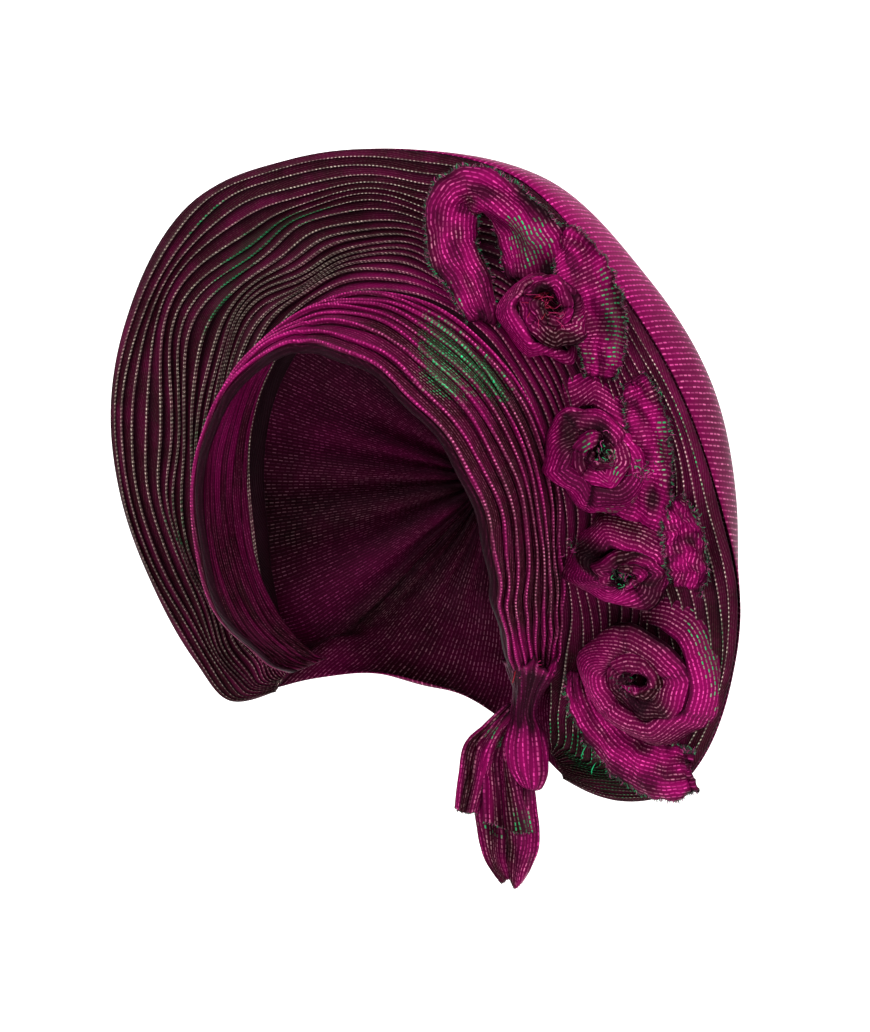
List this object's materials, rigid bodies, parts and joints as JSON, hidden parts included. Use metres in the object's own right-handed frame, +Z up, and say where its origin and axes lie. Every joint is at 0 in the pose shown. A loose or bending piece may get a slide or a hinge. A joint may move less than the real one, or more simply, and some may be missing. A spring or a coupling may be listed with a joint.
{
  "type": "tied gele head tie",
  "caption": "Pre-tied metallic cloth head tie with a pleated brow band, an upright pleated fan, a smooth crown bag, a spray of rolled roses and a gathered tie at the nape.",
  "frame": {"origin": "the top of the head that wears it, where the head meets the space under the crown", "axes": "+Z up, the wearer faces -Y, +X to the wearer's left"},
  "size_m": [0.3308, 0.1969, 0.3262],
  "materials": {
    "pleated_cloth": "dark wine metallic cloth, shaded by its pleats",
    "smooth_cloth": "magenta metallic cloth with fine cross ribs"
  },
  "bodies": {
    "root": {"brow_band": "pleated_cloth", "fan": "pleated_cloth", "crown": "smooth_cloth", "loop_bow": "smooth_cloth", "upper_rose": "smooth_cloth", "middle_rose": "smooth_cloth", "lower_rose": "smooth_cloth", "end_rose": "smooth_cloth", "leaf_petal": "smooth_cloth", "side_petal": "smooth_cloth", "small_petal": "smooth_cloth", "end_fold": "smooth_cloth", "tie_neck": "smooth_cloth", "front_flap": "smooth_cloth", "side_flap": "smooth_cloth", "lower_flap": "smooth_cloth"}
  },
  "joints": []
}
